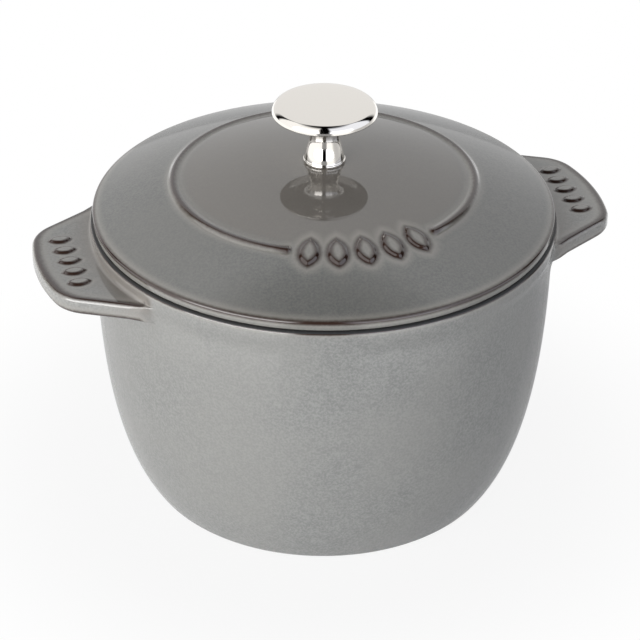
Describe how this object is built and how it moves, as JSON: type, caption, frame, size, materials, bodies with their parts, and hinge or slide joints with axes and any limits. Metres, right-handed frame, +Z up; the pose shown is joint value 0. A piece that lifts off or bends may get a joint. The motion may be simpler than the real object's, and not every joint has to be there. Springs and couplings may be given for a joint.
{
  "type": "dutch oven",
  "caption": "Tall round covered cast-iron pot with flat side handles, a domed lid with a raised ring and basting pegs, and a polished mushroom knob.",
  "frame": {"origin": "middle of the flat base, at the level that the pot stands on", "axes": "+Z up, X along the two side handles, and the opening in the lid's raised ring towards -Y"},
  "size_m": [0.2098, 0.1668, 0.1505],
  "materials": {
    "pot_enamel": "glossy graphite-grey enamel outside, matte black enamel inside",
    "lid_enamel": "glossy graphite-grey enamel above, matte black enamel below",
    "polished_knob": "turned and polished stainless steel",
    "plated_fastener": "zinc-plated steel"
  },
  "bodies": {
    "root": {"pot": "pot_enamel", "lid": "lid_enamel", "knob": "polished_knob", "knob_screw": "plated_fastener", "knob_washer": "plated_fastener"}
  },
  "joints": []
}
